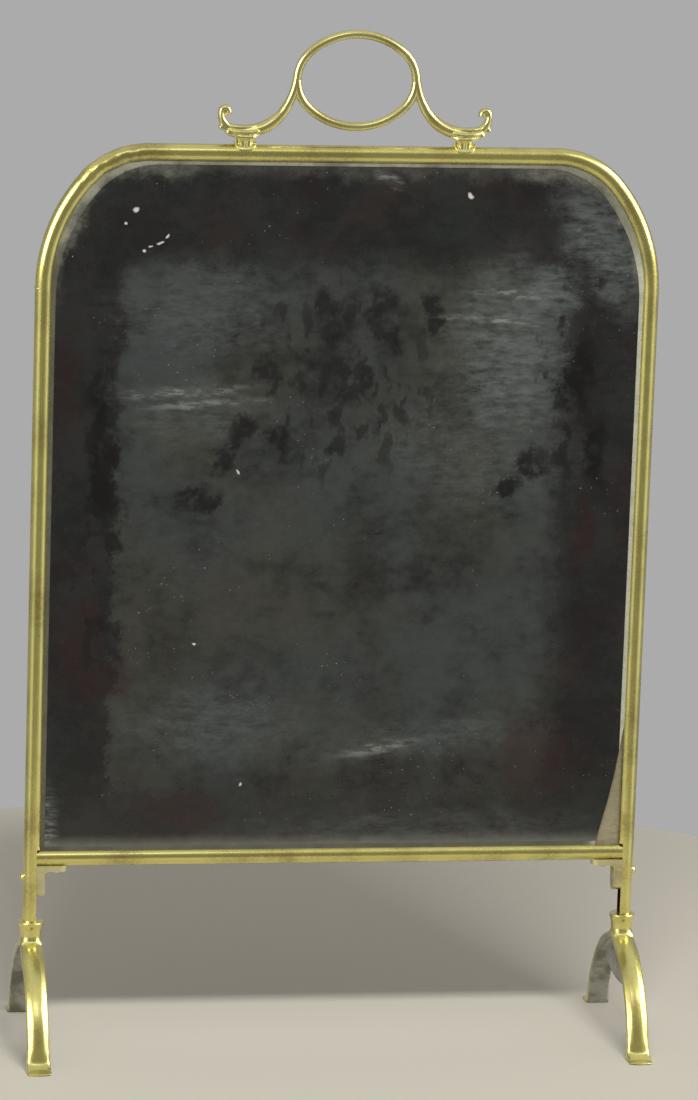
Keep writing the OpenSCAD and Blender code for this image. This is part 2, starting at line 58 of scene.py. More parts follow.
stile_low, stile_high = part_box("right_stile")
rail_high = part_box("top_rail")[1]
foot_low, foot_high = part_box("right_foot")
grip_low, grip_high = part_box("handle")
bar_low, bar_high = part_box("loop_lower_bar")
saddle_low, saddle_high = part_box("right_saddle")
plate_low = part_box("mirror_plate")[0]

# The hoop: its tube and the slot in it, its centre line, where the bends join the rail and the uprights, and
# how much of a bend's quarter turn takes the quicker radius.
TUBE_R = (stile_high.y - stile_low.y) / 2
WALL = 1.0 * MM
SLOT_HALF = 3.0 * MM
HALF_W = stile_high.x - TUBE_R
TOP_Z = rail_high.z - TUBE_R
BEND_X = rail_high.x
BEND_Z = stile_high.z
BEND_SPLIT = 50

# The feet: the socket's rim, how far the toes reach, and the arch of a leg, whose centre lies behind the
# middle of the foot and under the floor.
FOOT_X = (foot_low.x + foot_high.x) / 2
RIM_Z = foot_high.z
RIM_R = (foot_high.x - foot_low.x) / 2
TOE_REACH = foot_high.y
LEG_R = 91.7 * MM
LEG_BACK = 14.7 * MM
LEG_SINK = 11.7 * MM
LEG_T = 7.0 * MM

# The handle: the bar of its loop, the loop's middle and half height, and the seats of its pedestals.
BAR_R = (bar_high.y - bar_low.y) / 2
LOOP_Z = (grip_high.z + bar_low.z) / 2
LOOP_B = (grip_high.z - bar_low.z) / 2 - BAR_R
SEAT_Z = grip_low.z
SEAT_X = (saddle_low.x + saddle_high.x) / 2


def bend_radii():
    """The slower and the quicker radius of a corner bend, from the places where it starts and ends."""
    across, up = HALF_W - BEND_X, TOP_Z - BEND_Z
    s, c = math.sin(math.radians(BEND_SPLIT)), math.cos(math.radians(BEND_SPLIT))
    slow = (across * (1 - c) - up * s) / ((1 - s) * (1 - c) - s * c)
    return slow, (across - slow * (1 - s)) / s


SIDE_R, TOP_R = bend_radii()
SIDE_CENTRE = Vector((HALF_W - SIDE_R, 0, BEND_Z))
TOP_CENTRE = Vector((BEND_X, 0, TOP_Z - TOP_R))


# ---------------------------------------------------------------- small helpers

def direction(angle):
    """Unit vector in the XZ plane, angle in degrees from +X up to +Z."""
    return Vector((math.cos(math.radians(angle)), 0, math.sin(math.radians(angle))))


def eased(table, place):
    """Value from a table of (place, value) pairs, turning smoothly from one pair to the next."""
    if place <= table[0][0]:
        return table[0][1]
    for (a, low), (b, high) in zip(table, table[1:]):
        if place <= b:
            t = (place - a) / (b - a)
            return low + (high - low) * t * t * (3 - 2 * t)
    return table[-1][1]


def evenly(start, end, steps):
    """Values from start to end, spaced evenly."""
    return [start + (end - start) * i / steps for i in range(steps + 1)]


def placed(name, shape):
    """Puts a bmesh into the scene."""
    mesh = bpy.data.meshes.new(name)
    shape.to_mesh(mesh)
    shape.free()
    piece = bpy.data.objects.new(name, mesh)
    bpy.context.scene.collection.objects.link(piece)
    return piece


def finished(name, shape, material, slot, *replaced):
    """Turns a bmesh into a smooth-shaded piece of the object that rides on its one body."""
    piece = placed(name, shape)
    piece.data.materials.append(material)
    piece.data.shade_smooth()
    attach(piece, BODY)
    if replaced:
        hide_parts(*replaced)


def relaxed(shape, verts):
    """Moves each vert half way to the middle of its neighbours."""
    bmesh.ops.smooth_vert(shape, verts=verts, factor=0.5,
                          use_axis_x=True, use_axis_y=True, use_axis_z=True)


def melted(shape, voxel, passes):
    """The overlapping shells of a bmesh run into one skin, as metal does in a mould."""
    lump = placed("melt", shape)
    mesh = lump.data
    remesh = lump.modifiers.new("Remesh", "REMESH")
    remesh.mode = "VOXEL"
    remesh.voxel_size = voxel
    skin = bmesh.new()
    skin.from_object(lump, bpy.context.evaluated_depsgraph_get())
    bpy.data.objects.remove(lump)
    bpy.data.meshes.remove(mesh)
    for _ in range(passes):
        relaxed(skin, skin.verts)
    return skin


def swept(stations, sides):
    """A closed bar grown ring by ring. A station is a function that sends a point of the unit circle to its
    place."""
    shape = bmesh.new()
    around = shape.verts.layers.float_vector.new("around")
    ring = bmesh.ops.create_circle(shape, segments=sides, radius=1, cap_ends=True)["verts"]
    for vert in ring:
        vert[around] = vert.co
    edges = list({edge for vert in ring for edge in vert.link_edges})
    for vert in ring:
        vert.co = stations[0](vert[around])
    for station in stations[1:]:
        grown = bmesh.ops.extrude_edge_only(shape, edges=edges)["geom"]
        edges = [g for g in grown if isinstance(g, bmesh.types.BMEdge) and g.is_boundary]
        for vert in (g for g in grown if isinstance(g, bmesh.types.BMVert)):
            vert.co = station(vert[around])
    bmesh.ops.contextual_create(shape, geom=edges)
    shape.verts.layers.float_vector.remove(around)
    bmesh.ops.recalc_face_normals(shape, faces=shape.faces)
    return shape


def joined(shape, other):
    """Adds the faces of another bmesh to this one."""
    mesh = bpy.data.meshes.new("join")
    other.to_mesh(mesh)
    other.free()
    shape.from_mesh(mesh)
    bpy.data.meshes.remove(mesh)


def mirrored(shape):
    """The same shape on the other side of the screen."""
    bmesh.ops.scale(shape, vec=(-1, 1, 1), verts=shape.verts)
    bmesh.ops.reverse_faces(shape, faces=shape.faces)
    return shape


def ball(shape, place, radius):
    """Adds a ball to a bmesh."""
    bmesh.ops.create_icosphere(shape, subdivisions=3, radius=radius, matrix=Matrix.Translation(place))


def extruded(points, thickness):
    """A plate from the closed outline of its face. The thickness is a vector."""
    shape = bmesh.new()
    face = bmesh.ops.contextual_create(shape, geom=[shape.verts.new(p) for p in points])["faces"][0]
    grown = bmesh.ops.extrude_face_region(shape, geom=[face])["geom"]
    bmesh.ops.translate(shape, vec=thickness,
                        verts=[g for g in grown if isinstance(g, bmesh.types.BMVert)])
    bmesh.ops.recalc_face_normals(shape, faces=shape.faces)
    return shape


# ---------------------------------------------------------------- material helpers

def linear(code):
    """An sRGB hex colour as the linear colour that the shader wants."""
    parts = [int(code[i:i + 2], 16) / 255 for i in (1, 3, 5)]
    return [p / 12.92 if p <= 0.04045 else ((p + 0.055) / 1.055) ** 2.4 for p in parts] + [1.0]


def live(sockets, name=None):
    """The first socket that is in use, or the first one of that name."""
    return next(socket for socket in sockets if socket.enabled and name in (None, socket.name))


def feed(made, sources):
    """Feeds a node's sockets, by name or number. A source is a value, a hex colour, a socket, or a node,
    whose first output is taken."""
    for key, source in sources.items():
        socket = made.inputs[key] if isinstance(key, int) else live(made.inputs, key)
        if isinstance(source, bpy.types.Node):
            source = live(source.outputs)
        if isinstance(source, bpy.types.NodeSocket):
            made.id_data.links.new(source, socket)
        else:
            socket.default_value = linear(source) if isinstance(source, str) else source


def node(tree, kind, sources, **settings):
    """Adds a node with its settings, and feeds its sockets."""
    made = tree.nodes.new("ShaderNode" + kind)
    for name, setting in settings.items():
        setattr(made, name, setting)
    feed(made, sources)
    return made


def new_material(name):
    """An empty material, what adds its nodes, its Principled shader, and its Object coordinates in metres."""
    material = bpy.data.materials.new(name)
    material.use_nodes = True
    material.node_tree.nodes.clear()
    add = functools.partial(node, material.node_tree)
    shader = add("BsdfPrincipled", {})
    add("OutputMaterial", {"Surface": shader})
    return material, add, shader, add("TexCoord", {}).outputs["Object"]


def fed(shader, name):
    """What a socket of the shader is fed with so far."""
    return shader.inputs[name].links[0].from_socket


def where(add, *spans):
    """A share made of smooth steps, multiplied together. A span has a value, where its step starts and ends,
    and the two levels that it joins, if they aren't 0 and 1."""
    share = None
    for value, start, end, *levels in spans:
        low, high = levels or (0.0, 1.0)
        step = add("MapRange", {"Value": value, "From Min": start, "From Max": end,
                                "To Min": low, "To Max": high}, interpolation_type="SMOOTHSTEP")
        share = step if share is None else add("Math", {0: share, 1: step}, operation="MULTIPLY")
    return share


def grain(add, place, size, detail=4.0, rough=0.5, stretch=(1, 1, 1), cut=None):
    """Noise whose lumps are about size across, in metres, and longer along an axis by stretch. With a cut, it
    is stepped as where does it."""
    spread = add("Mapping", {"Vector": place, "Scale": [1 / s for s in stretch]})
    lumps = add("TexNoise", {"Vector": spread, "Scale": 0.5 / size, "Detail": detail, "Roughness": rough})
    return where(add, (lumps, *cut)) if cut else lumps


# ---------------------------------------------------------------- brass

def polished_brass(name, clean, stained, rough_low, rough_high, wave, wave_depth):
    """Old brass that was polished by hand: softly uneven, darker where lacquer and handling stained it."""
    material, add, shader, place = new_material(name)
    clouds = grain(add, place, 22 * MM, 5)
    flecks = grain(add, place, 1.6 * MM, 3)
    stain = where(add, (clouds, 0.42, 0.68), (flecks, 0.35, 0.6, 0.6, 1.0))
    rubbed = add("Mix", {"Factor": 0.4, "A": clouds, "B": flecks})
    slow = add("Bump", {"Height": grain(add, place, wave, 2), "Distance": wave_depth})
    # The marks of the polishing cloth are drawn 0.35 mm wide, coarser than real ones, so that they show.
    cloth = grain(add, place, 0.35 * MM, 2)
    fine = add("Bump", {"Height": cloth, "Distance": 0.0018 * MM, "Normal": slow})
    feed(shader, {
        "Base Color": add("Mix", {"Factor": stain, "A": clean, "B": stained}, data_type="RGBA"),
        "Roughness": where(add, (rubbed, 0.3, 0.7, rough_low, rough_high)),
        "Metallic": 1.0, "Coat Weight": 1.0, "Coat Roughness": 0.14, "Coat IOR": 1.8, "Normal": fine})
    return material, add, shader, place


def drawn_tube_brass():
    """Drawn brass tube under thin old lacquer: a long bright streak, gently wavering, over olive yellow.
    Inside the slot of an upright the bore is painted dark brown as painted shade."""
    material, add, shader, place = polished_brass("drawn_tube_brass", "#E0D674", "#AFA04C", 0.2, 0.32,
                                                  18 * MM, 0.12 * MM)
    axes = add("SeparateXYZ", {"Vector": place}).outputs
    across = add("Math", {0: axes["X"]}, operation="ABSOLUTE")
    aside = add("Math", {0: across, 1: HALF_W}, operation="SUBTRACT")
    reach = add("VectorMath", {0: add("CombineXYZ", {"X": aside, "Y": axes["Y"]})}, operation="LENGTH")
    # Painted shade: the inside of the tube in the uprights, seen through the slot, is coloured dark brown.
    inner = where(add, (reach, TUBE_R - 0.3 * WALL, TUBE_R - 0.7 * WALL))
    upright = add("Math", {0: axes["Z"], 1: BEND_Z}, operation="LESS_THAN")
    bore_shade = add("Math", {0: inner, 1: upright}, operation="MULTIPLY")
    polished = fed(shader, "Base Color")
    colour = add("Mix", {"Factor": bore_shade, "A": polished, "B": "#5A3A2A"}, data_type="RGBA")
    feed(shader, {"Base Color": colour})
    return material


def bright_cast_brass():
    """Sand-cast brass, filed and buffed bright: lively small highlights that follow the file marks."""
    return polished_brass("bright_cast_brass", "#E6DC84", "#B4A555", 0.2, 0.32, 7 * MM, 0.07 * MM)[0]


def sawn_brass():
    """Brass left unpolished after sawing and drilling: a soft grey-yellow sheen with no clear highlight."""
    return polished_brass("sawn_brass", "#E0D8A2", "#A89C60", 0.32, 0.48, 3 * MM, 0.06 * MM)[0]


def foot_brass():
    """Cast brass foot: outer faces buffed bright, the hollow of the arch left grey from the sand."""
    material, add, shader, place = polished_brass("foot_brass", "#E2D878", "#B0A14C", 0.24, 0.38,
                                                  9 * MM, 0.22 * MM)
    axes = add("SeparateXYZ", {"Vector": place}).outputs
    along = add("Math", {0: add("Math", {0: axes["Y"]}, operation="ABSOLUTE"), 1: LEG_BACK}, operation="ADD")
    above = add("Math", {0: axes["Z"], 1: LEG_SINK}, operation="ADD")
    reach = add("VectorMath", {0: add("CombineXYZ", {"Y": along, "Z": above})}, operation="LENGTH")
    under = LEG_R - LEG_T
    raw = where(add, (reach, under + 1.6 * MM, under + 0.6 * MM))
    sand = grain(add, place, 1.2 * MM, 6, 0.7)
    crust = add("Mix", {"Factor": grain(add, place, 9 * MM, 3, cut=(0.4, 0.65)),
                        "A": "#A9A79B", "B": "#6F6D58"}, data_type="RGBA")
    coarse = where(add, (sand, 0.3, 0.7, 0.45, 0.7))
    grit = add("Math", {0: sand, 1: raw}, operation="MULTIPLY")
    colour = add("Mix", {"Factor": raw, "A": fed(shader, "Base Color"), "B": crust}, data_type="RGBA")
    feed(shader, {
        "Base Color": colour,
        "Roughness": add("Mix", {"Factor": raw, "A": fed(shader, "Roughness"), "B": coarse}),
        "Normal": add("Bump", {"Height": grit, "Distance": 0.5 * MM, "Normal": fed(shader, "Normal")})})
    return material


# ---------------------------------------------------------------- panel

# Marks on the dark plate, in millimetres and degrees: middle across and up, half width, half height, and
# lean, which raises the right end.
BLOTCHES = (
    (-16, 551, 9, 12, 10), (-9, 533, 9, 13, 0), (-61, 505, 9, 9, 0), (-17, 507, 8, 9, 0), (-6, 500, 6, 12, 0),
    (-47, 449, 7, 13, 30), (-76, 458, 18, 10, 40), (-88, 440, 13, 8, 30), (-106, 409, 19, 8, 20),
    (-9, 468, 6, 8, 0), (-8, 446, 6, 6, 0), (22, 549, 11, 15, 0), (28, 530, 8, 12, 0), (14, 500, 5, 15, 10),
    (23, 463, 5, 11, 0), (63, 545, 6, 18, 10), (138, 436, 15, 10, 35), (126, 414, 9, 6, 30),
    (173, 500, 9, 26, 10), (160, 486, 10, 13, 0), (185, 446, 10, 26, 0), (-176, 430, 9, 40, 0),
    (-180, 470, 7, 24, 0),
)
SPOTTED = (
    (-4, 497, 72, 74, 0), (166, 500, 24, 84, 0), (-178, 400, 16, 130, 0),
)
DIM_BANDS = (
    (60, 203, 70, 12, 4), (-60, 196, 46, 10, 5), (70, 352, 84, 13, 3), (-20, 520, 46, 60, 0),
)
RED_STAINS = (
    (-190, 296, 14, 30, 0), (-174, 274, 20, 14, 0), (-204, 500, 10, 26, 0), (-112, 176, 30, 13, 0),
    (179, 382, 8, 26, 0), (-72, 462, 8, 8, 0), (148, 212, 26, 30, 0),
)
BRIGHT_DUST = (
    (118, 516, 36, 58, 0), (184, 596, 20, 46, 30), (150, 560, 20, 18, 0),
)
THIN_DUST = (
    (-105, 545, 58, 32, 0), (100, 446, 62, 40, 0), (60, 228, 80, 13, 8), (-110, 470, 50, 22, 0),
    (-90, 240, 60, 26, 0), (60, 160, 120, 12, 0),
)
PALE_WIPES = (
    (-122, 487, 40, 3.5, 3), (-102, 478, 34, 2.5, 4), (-216, 154, 9, 36, 0), (33, 222, 24, 4, 12),
    (120, 560, 26, 2.5, -4), (108, 541, 34, 2.5, -3), (26, 643, 10, 4, -30),
)
PAINT_FLECKS = (
    (-157, 619, 1.8, 1.7, 0), (-164, 609, 1.1, 1.0, 0), (-134, 600, 1.8, 0.7, 50), (-139, 595, 2.4, 0.8, 20),
    (-146, 592.5, 1.6, 0.6, 10), (-151, 589, 1.2, 1.1, 0), (-78, 428, 0.7, 2.0, 30), (-107, 300, 1.2, 0.7, 0),
    (-70, 194, 1.2, 1.0, 0), (86, 632, 1.5, 2.6, 30),
)


def stirred(add, ground, size, reach):
    """ground with each point moved up to about reach along X and Z, so that what is laid on it is ragged."""
    axes = add("SeparateXYZ", {"Vector": ground}).outputs
    aside, above = (grain(add, ground, lumps, 6, 0.7, cut=(0.0, 1.0, -reach, reach))
                    for lumps in (size, 1.13 * size))
    return add("CombineXYZ", {"X": add("Math", {0: axes["X"], 1: aside}, operation="ADD"),
                              "Z": add("Math", {0: axes["Z"], 1: above}, operation="ADD")})


def rim_share(add, ground):
    """0 in the middle of the panel, rising to 1 on the centre line of the hoop, round its top corners too."""
    axes = add("SeparateXYZ", {"Vector": ground}).outputs
    across = add("Math", {0: axes["X"]}, operation="ABSOLUTE")
    aside = add("MapRange", {"Value": across, "From Min": BEND_X, "From Max": HALF_W})
    above = add("MapRange", {"Value": axes["Z"], "From Min": BEND_Z, "From Max": TOP_Z})
    return add("VectorMath", {0: add("CombineXYZ", {"X": aside, "Z": above})}, operation="LENGTH")


def ovals(add, ground, table, soft, full=1.0):
    """full inside any of the ovals of a table, fading to 0 over their soft edges."""
    nearest = None
    for x, z, half_x, half_z, lean in table:
        oval = add("Mapping", {"Vector": ground, "Location": (x * MM, 0, z * MM),
                               "Rotation": (0, -math.radians(lean), 0),
                               "Scale": (half_x * MM, 1, half_z * MM)}, vector_type="TEXTURE")
        off = add("VectorMath", {0: oval}, operation="LENGTH")
        nearest = off if nearest is None else add("Math", {0: nearest, 1: off}, operation="MINIMUM")
    return where(add, (nearest, 1 + soft, 1 - soft, 0.0, full))


def dark_plate():
    """Old plate glass with a blackened back: near black round its margins, dull with dust inside an old
    rubbed rectangle, with damp blotches, reddish stains, wipe marks and flecks of paint."""
    material, add, shader, place = new_material("blackened_plate_glass")
    ragged = stirred(add, place, 12 * MM, 15 * MM)
    nearly = stirred(add, place, 5 * MM, 2 * MM)
    axes = add("SeparateXYZ", {"Vector": ragged}).outputs
    x, z = axes["X"], axes["Z"]
    mottle = grain(add, place, 2.6 * MM, 8, 0.75, (1.8, 1, 1), cut=(0.32, 0.68))
    wipes = grain(add, place, 2 * MM, 7, 0.7, (4, 1, 1), cut=(0.36, 0.66))
    clouds = grain(add, place, 26 * MM, 8, 0.68, cut=(0.36, 0.64))
    smoky = add("Mix", {"Factor": 0.4, "A": clouds, "B": mottle})

    # Margins, partly brownish and partly greenish black
    brown, green = (add("Mix", {"Factor": smoky, "A": dark, "B": light}, data_type="RGBA")
                    for dark, light in (("#191414", "#2B2725"), ("#151714", "#272A27")))
    greenish = grain(add, place, 24 * MM, 5, 0.6, cut=(0.4, 0.6))
    colour = add("Mix", {"Factor": greenish, "A": brown, "B": green}, data_type="RGBA")

    # Haze inside the rubbed rectangle, whose soft edges are given from outside to inside
    rectangle = where(add, (x, -172 * MM, -162 * MM), (x, 176 * MM, 142 * MM),
                      (z, 150 * MM, 230 * MM), (z, 596 * MM, 566 * MM))
    dull = add("Math", {0: clouds, 1: 0.45, 2: 0.28}, operation="MULTIPLY_ADD")
    dull = add("Math", {0: mottle, 1: 0.35, 2: dull}, operation="MULTIPLY_ADD")
    haze = add("Math", {0: rectangle, 1: dull}, operation="MULTIPLY")
    cool = grain(add, place, 60 * MM, cut=(0.4, 0.6))
    grey = add("Mix", {"Factor": cool, "A": "#3A3B32", "B": "#373C3A"}, data_type="RGBA")

    # Shares of the marks: each table's ovals, broken up by a finer pattern
    streaks = add("Math", {0: mottle, 1: 0.4}, operation="MULTIPLY")
    streaks = add("Math", {0: wipes, 1: 0.5, 2: streaks}, operation="MULTIPLY_ADD")
    bright, thin = ovals(add, ragged, BRIGHT_DUST, 0.6), ovals(add, ragged, THIN_DUST, 0.6, 0.36)
    dusty = add("Math", {0: bright, 1: thin}, operation="MAXIMUM")
    damp = grain(add, place, 4 * MM, 5, 0.65, cut=(0.34, 0.54, 0.3, 1.0))
    spots = grain(add, place, 6 * MM, 3, 0.55, (1, 1, 1.7), cut=(0.53, 0.62, 0.0, 0.75))
    dust, blotches, dim, spotted, smears = (
        add("Math", {0: marks, 1: pattern}, operation="MULTIPLY") for marks, pattern in (
            (dusty, streaks),
            (ovals(add, ragged, BLOTCHES, 0.42), damp),
            (ovals(add, ragged, DIM_BANDS, 0.8), where(add, (smoky, 0.2, 0.7, 0.75, 0.3))),
            (ovals(add, ragged, SPOTTED, 0.35), spots),
            (ovals(add, nearly, PALE_WIPES, 0.7), where(add, (wipes, 0.2, 0.9, 0.1, 0.62)))))

    # Dust along the lower edge, and glass rubbed pale near the upper corners
    low = add("SeparateXYZ", {"Vector": nearly}).outputs["Z"]
    settled = where(add, (low, plate_low.z, plate_low.z + 17 * MM, 0.72, 0.0))
    across = add("Math", {0: x}, operation="ABSOLUTE")
    rubbed = where(add, (rim_share(add, ragged), 0.78, 0.93), (z, 540 * MM, 600 * MM, 0.0, 0.6),
                   (across, 100 * MM, 150 * MM, 0.3, 1.0), (mottle, 0.0, 1.0, 0.5, 1.0))
    dots = where(add, (grain(add, place, 0.9 * MM, 1), 0.77, 0.8),
                 (grain(add, place, 40 * MM, 1), 0.5, 0.6, 0.0, 0.45))
    paint = ovals(add, nearly, PAINT_FLECKS, 0.4)
    for share, tint in (
            (haze, grey),
            (dust, "#646A67"),
            (ovals(add, ragged, RED_STAINS, 0.5, 0.6), "#2A1718"),
            (blotches, "#0B0A0A"),
            (dim, "#191817"),
            (spotted, "#11100F"),
            (smears, "#8A8C85"),
            (add("Math", {0: settled, 1: rubbed}, operation="MAXIMUM"), "#8A8A7C"),
            (add("Math", {0: dots, 1: paint}, operation="MAXIMUM"), "#C9C7BF")):
        colour = add("Mix", {"Factor": share, "A": colour, "B": tint}, data_type="RGBA")
    dulled = add("Math", {0: haze, 1: smears}, operation="ADD")
    feed(shader, {"Base Color": colour, "IOR": 1.5,
                  "Roughness": where(add, (dulled, 0.0, 0.8, 0.18, 0.45)),
                  "Normal": add("Bump", {"Height": grain(add, place, 0.9 * MM, 3), "Distance": 0.01 * MM})})
    return material


def tan_board():
    """Pressed fibre board, bare where the glass is gone: flat tan with short fibres and faint stains."""
    material, add, shader, place = new_material("tan_fibre_board")
    fibres = grain(add, place, 0.8 * MM, 5, 0.7, (3, 1, 1))
    stains = grain(add, place, 25 * MM, cut=(0.45, 0.75, 0.0, 0.5))
    pale = where(add, (fibres, 0.3, 0.7))
    colour = add("Mix", {"Factor": pale, "A": "#93896C", "B": "#A99E80"}, data_type="RGBA")
    colour = add("Mix", {"Factor": stains, "A": colour, "B": "#857B62"}, data_type="RGBA")
    feed(shader, {"Base Color": colour, "Roughness": 0.85,
                  "Normal": add("Bump", {"Height": fibres, "Distance": 0.08 * MM})})
    return material


def binding_tape():
    """Gummed paper tape, grey-green with age: soiled dark on the left, still pale on the right and round the
    bend."""
    material, add, shader, place = new_material("gummed_binding_tape")
    axes = add("SeparateXYZ", {"Vector": place}).outputs
    x, below = axes["X"], (axes["Z"], 600 * MM, 575 * MM)
    fibres = grain(add, place, 0.7 * MM, 4, 0.6)
    ragged = stirred(add, place, 6 * MM, 10 * MM)
    colour = add("Mix", {"Factor": grain(add, place, 14 * MM, 5, 0.6, cut=(0.35, 0.68)),
                         "A": "#96957F", "B": "#6C6B58"}, data_type="RGBA")
    inner = where(add, (rim_share(add, ragged), 0.93, 0.84, 0.0, 0.75), (x, 188 * MM, 198 * MM, 1.0, 0.25))
    for share, tint in (
            (where(add, below, (x, -195 * MM, -205 * MM, 0.0, 0.8)), "#4C4830"),
            (where(add, below, (x, 190 * MM, 200 * MM, 0.0, 0.8)), "#CBCBB4"),
            (where(add, (fibres, 0.4, 0.7, 0.0, 0.35)), "#6B6A5C"),
            (inner, "#45443B")):
        colour = add("Mix", {"Factor": share, "A": colour, "B": tint}, data_type="RGBA")
    feed(shader, {"Base Color": colour, "Roughness": 0.7,
                  "Normal": add("Bump", {"Height": fibres, "Distance": 0.05 * MM})})
    return material


TUBE = drawn_tube_brass()
BRIGHT = bright_cast_brass()
SAWN = sawn_brass()
FOOT = foot_brass()


def dress(material, *names):
    """Gives CAD nodes their finish."""
    for name in names:
        mesh = nodes[name].data
        mesh.materials.clear()
        mesh.materials.append(material)


dress(TUBE, "left_stile", "right_stile", "top_rail", "bottom_rail")
dress(SAWN, "left_bracket", "right_bracket", "left_rail_screw", "right_rail_screw", "left_rail_plug",
      "right_rail_plug", "left_foot_screw", "right_foot_screw", "left_handle_screw", "right_handle_screw")
dress(BRIGHT, "left_stile_screw", "right_stile_screw")
dress(dark_plate(), "mirror_plate")
dress(tan_board(), "backing_board")
dress(binding_tape(), "edge_binding")


# ---------------------------------------------------------------- corner bends

# Where a bend stands on its upright, and the facets round its tube and along each of its two arcs.
BEND_ROOT = Vector((HALF_W, 0, BEND_Z))
BEND_SIDES = 44
BEND_STEPS = 40
# How much the bender crumpled the wall, as a share of the tube's radius, and how that is spread: the sizes of
# the creases, their share at some angles of the bend, and over how many degrees the ends are kept round.
RIPPLES = {"left": 0.07, "right": 0.008}
BROAD_CREASE = 9 * MM
FINE_CREASE = 3.2 * MM
CRUMPLED = ((30, 0.1), (48, 1), (78, 1), (88, 0.3))
ROUND_ENDS = 6
# The least turn of an edge that stays sharp.
SHARP = 50


def bend(side, ripple):
    """Slotted tube bent to two radii, its wall rippled a little where the bender crumpled it."""
    shape = bmesh.new()
    lip = math.degrees(math.asin(SLOT_HALF / TUBE_R))
    out = Vector((-math.cos(math.radians(lip)), math.sin(math.radians(lip)), 0))
    start = shape.verts.new(BEND_ROOT + TUBE_R * out)
    bmesh.ops.spin(shape, geom=[start], cent=BEND_ROOT, axis=(0, 0, 1), angle=-math.radians(360 - 2 * lip),
                   steps=BEND_SIDES)
    last = shape.verts[:] + shape.edges[:]
    for middle, angle in ((SIDE_CENTRE, 90 - BEND_SPLIT), (TOP_CENTRE, BEND_SPLIT)):
        last = bmesh.ops.spin(shape, geom=last, cent=middle, axis=(0, -1, 0),
                              angle=math.radians(angle), steps=BEND_STEPS)["geom_last"]
    for vert in shape.verts:
        middle, radius = SIDE_CENTRE, SIDE_R
        out = vert.co - middle
        if math.degrees(math.atan2(out.z, out.x)) > 90 - BEND_SPLIT:
            middle, radius = TOP_CENTRE, TOP_R
            out = vert.co - middle
        way = Vector((out.x, 0, out.z)).normalized()
        axis = middle + radius * way
        angle = math.degrees(math.atan2(way.z, way.x))
        fade = min(1, angle / ROUND_ENDS, (90 - angle) / ROUND_ENDS) if 0 < angle < 90 else 0
        crumple = noise.noise(vert.co / BROAD_CREASE) + 0.7 * noise.noise(vert.co / FINE_CREASE)
        crumple *= eased(CRUMPLED, angle)
        vert.co = axis + (vert.co - axis) * (1 + fade * ripple * crumple)
    bmesh.ops.recalc_face_normals(shape, faces=shape.faces)
    probe = max(shape.faces, key=lambda f: f.calc_center_median().x)
    if probe.normal.x < 0:
        bmesh.ops.reverse_faces(shape, faces=shape.faces)
    bmesh.ops.solidify(shape, geom=shape.faces[:], thickness=WALL)
    for edge in shape.edges:
        edge.smooth = edge.calc_face_angle(0) < math.radians(SHARP)
    if side < 0:
        mirrored(shape)
    return shape


for word, side in SIDES.items():
    finished(f"{word}_bend_tube", bend(side, RIPPLES[word]), TUBE, "tube_brass", f"{word}_bend")


# ---------------------------------------------------------------- feet

# A leg: its width at the waist and how that widens, the flat, the bevels and the crown of its outer face, the
# share of the bevels by height, and the angle just past the crown at which its sweep starts.
LEG_WAIST = 16.2 * MM
WAIST_Z = 46 * MM
WAIST_R = 1000 * MM
LEG_FACE = 3.2 * MM
LEG_BEVEL = 2.2 * MM
LEG_CROWN = 0.5 * MM
BEVEL_FADE = ((7 * MM, 0.4), (18 * MM, 1))
ARCH_START = 86
# Rings of the arch, of the hollow over the toe and of the nose, points of a ring, and how square it is.
ARCH_STEPS, HOLLOW_STEPS, NOSE_STEPS = 56, 14, 12
STRAP_SIDES = 64
SQUARE = 0.35
# A toe, and the web and the neck between the legs.
TOE_T = 1.9 * MM
TOE_HOLLOW = 5.5 * MM
TOE_CORNER = 4 * MM
NOSE_DROP = 0.8 * TOE_T
HEEL_Z = TOE_T + 0.75 * TOE_HOLLOW
HEEL_TUCK = 0.2 * MM
WEB_T = 5 * MM
WEB_Z = 40 * MM
WEB_R = 130 * MM
WEB_REACH = 45 * MM
NECK_R = 8.2 * MM
LIP_H = 2.5 * MM
FLARE_R = 9 * MM
FLARE_STEPS = 8
TURNED_SIDES = 72
FOOT_VOXEL = 0.55 * MM
FOOT_PASSES = 9
FILLET_PASSES = 50
CROWN_Z = math.sqrt(LEG_R ** 2 - LEG_BACK ** 2) - LEG_SINK
HOLLOW = Vector((0, math.sqrt((LEG_R + TOE_HOLLOW) ** 2 - (TOE_T + TOE_HOLLOW + LEG_SINK) ** 2) - LEG_BACK,
                 TOE_T + TOE_HOLLOW))
TOE_TURN = math.degrees(math.asin((TOE_T + TOE_HOLLOW + LEG_SINK) / (LEG_R + TOE_HOLLOW)))


def outward(turn):
    """Unit vector in the YZ plane, angle in degrees from +Y up to +Z."""
    return Vector((0, math.cos(math.radians(turn)), math.sin(math.radians(turn))))


def half_width(z):
    """Half the width of a leg at height z, narrowest at its waist."""
    return LEG_WAIST / 2 + WAIST_R - math.sqrt(WAIST_R ** 2 - (z - WAIST_Z) ** 2)


def strap_station(skin, out, thick, half, bevel):
    """One ring of the strap: its outer skin at a point, slightly crowned, bevelled along each outer edge."""
    centre = skin - thick / 2 * out

    def place(unit):
        across = math.copysign(abs(unit.x) ** SQUARE, unit.x) * half
        rise = math.copysign(abs(unit.y) ** SQUARE, unit.y) * thick / 2
        fall = bevel * max(0, abs(across) - LEG_FACE) / (half - LEG_FACE) + LEG_CROWN * (across / half) ** 2
        return centre + Vector((across, 0, 0)) + min(rise, thick / 2 - fall) * out
    return place


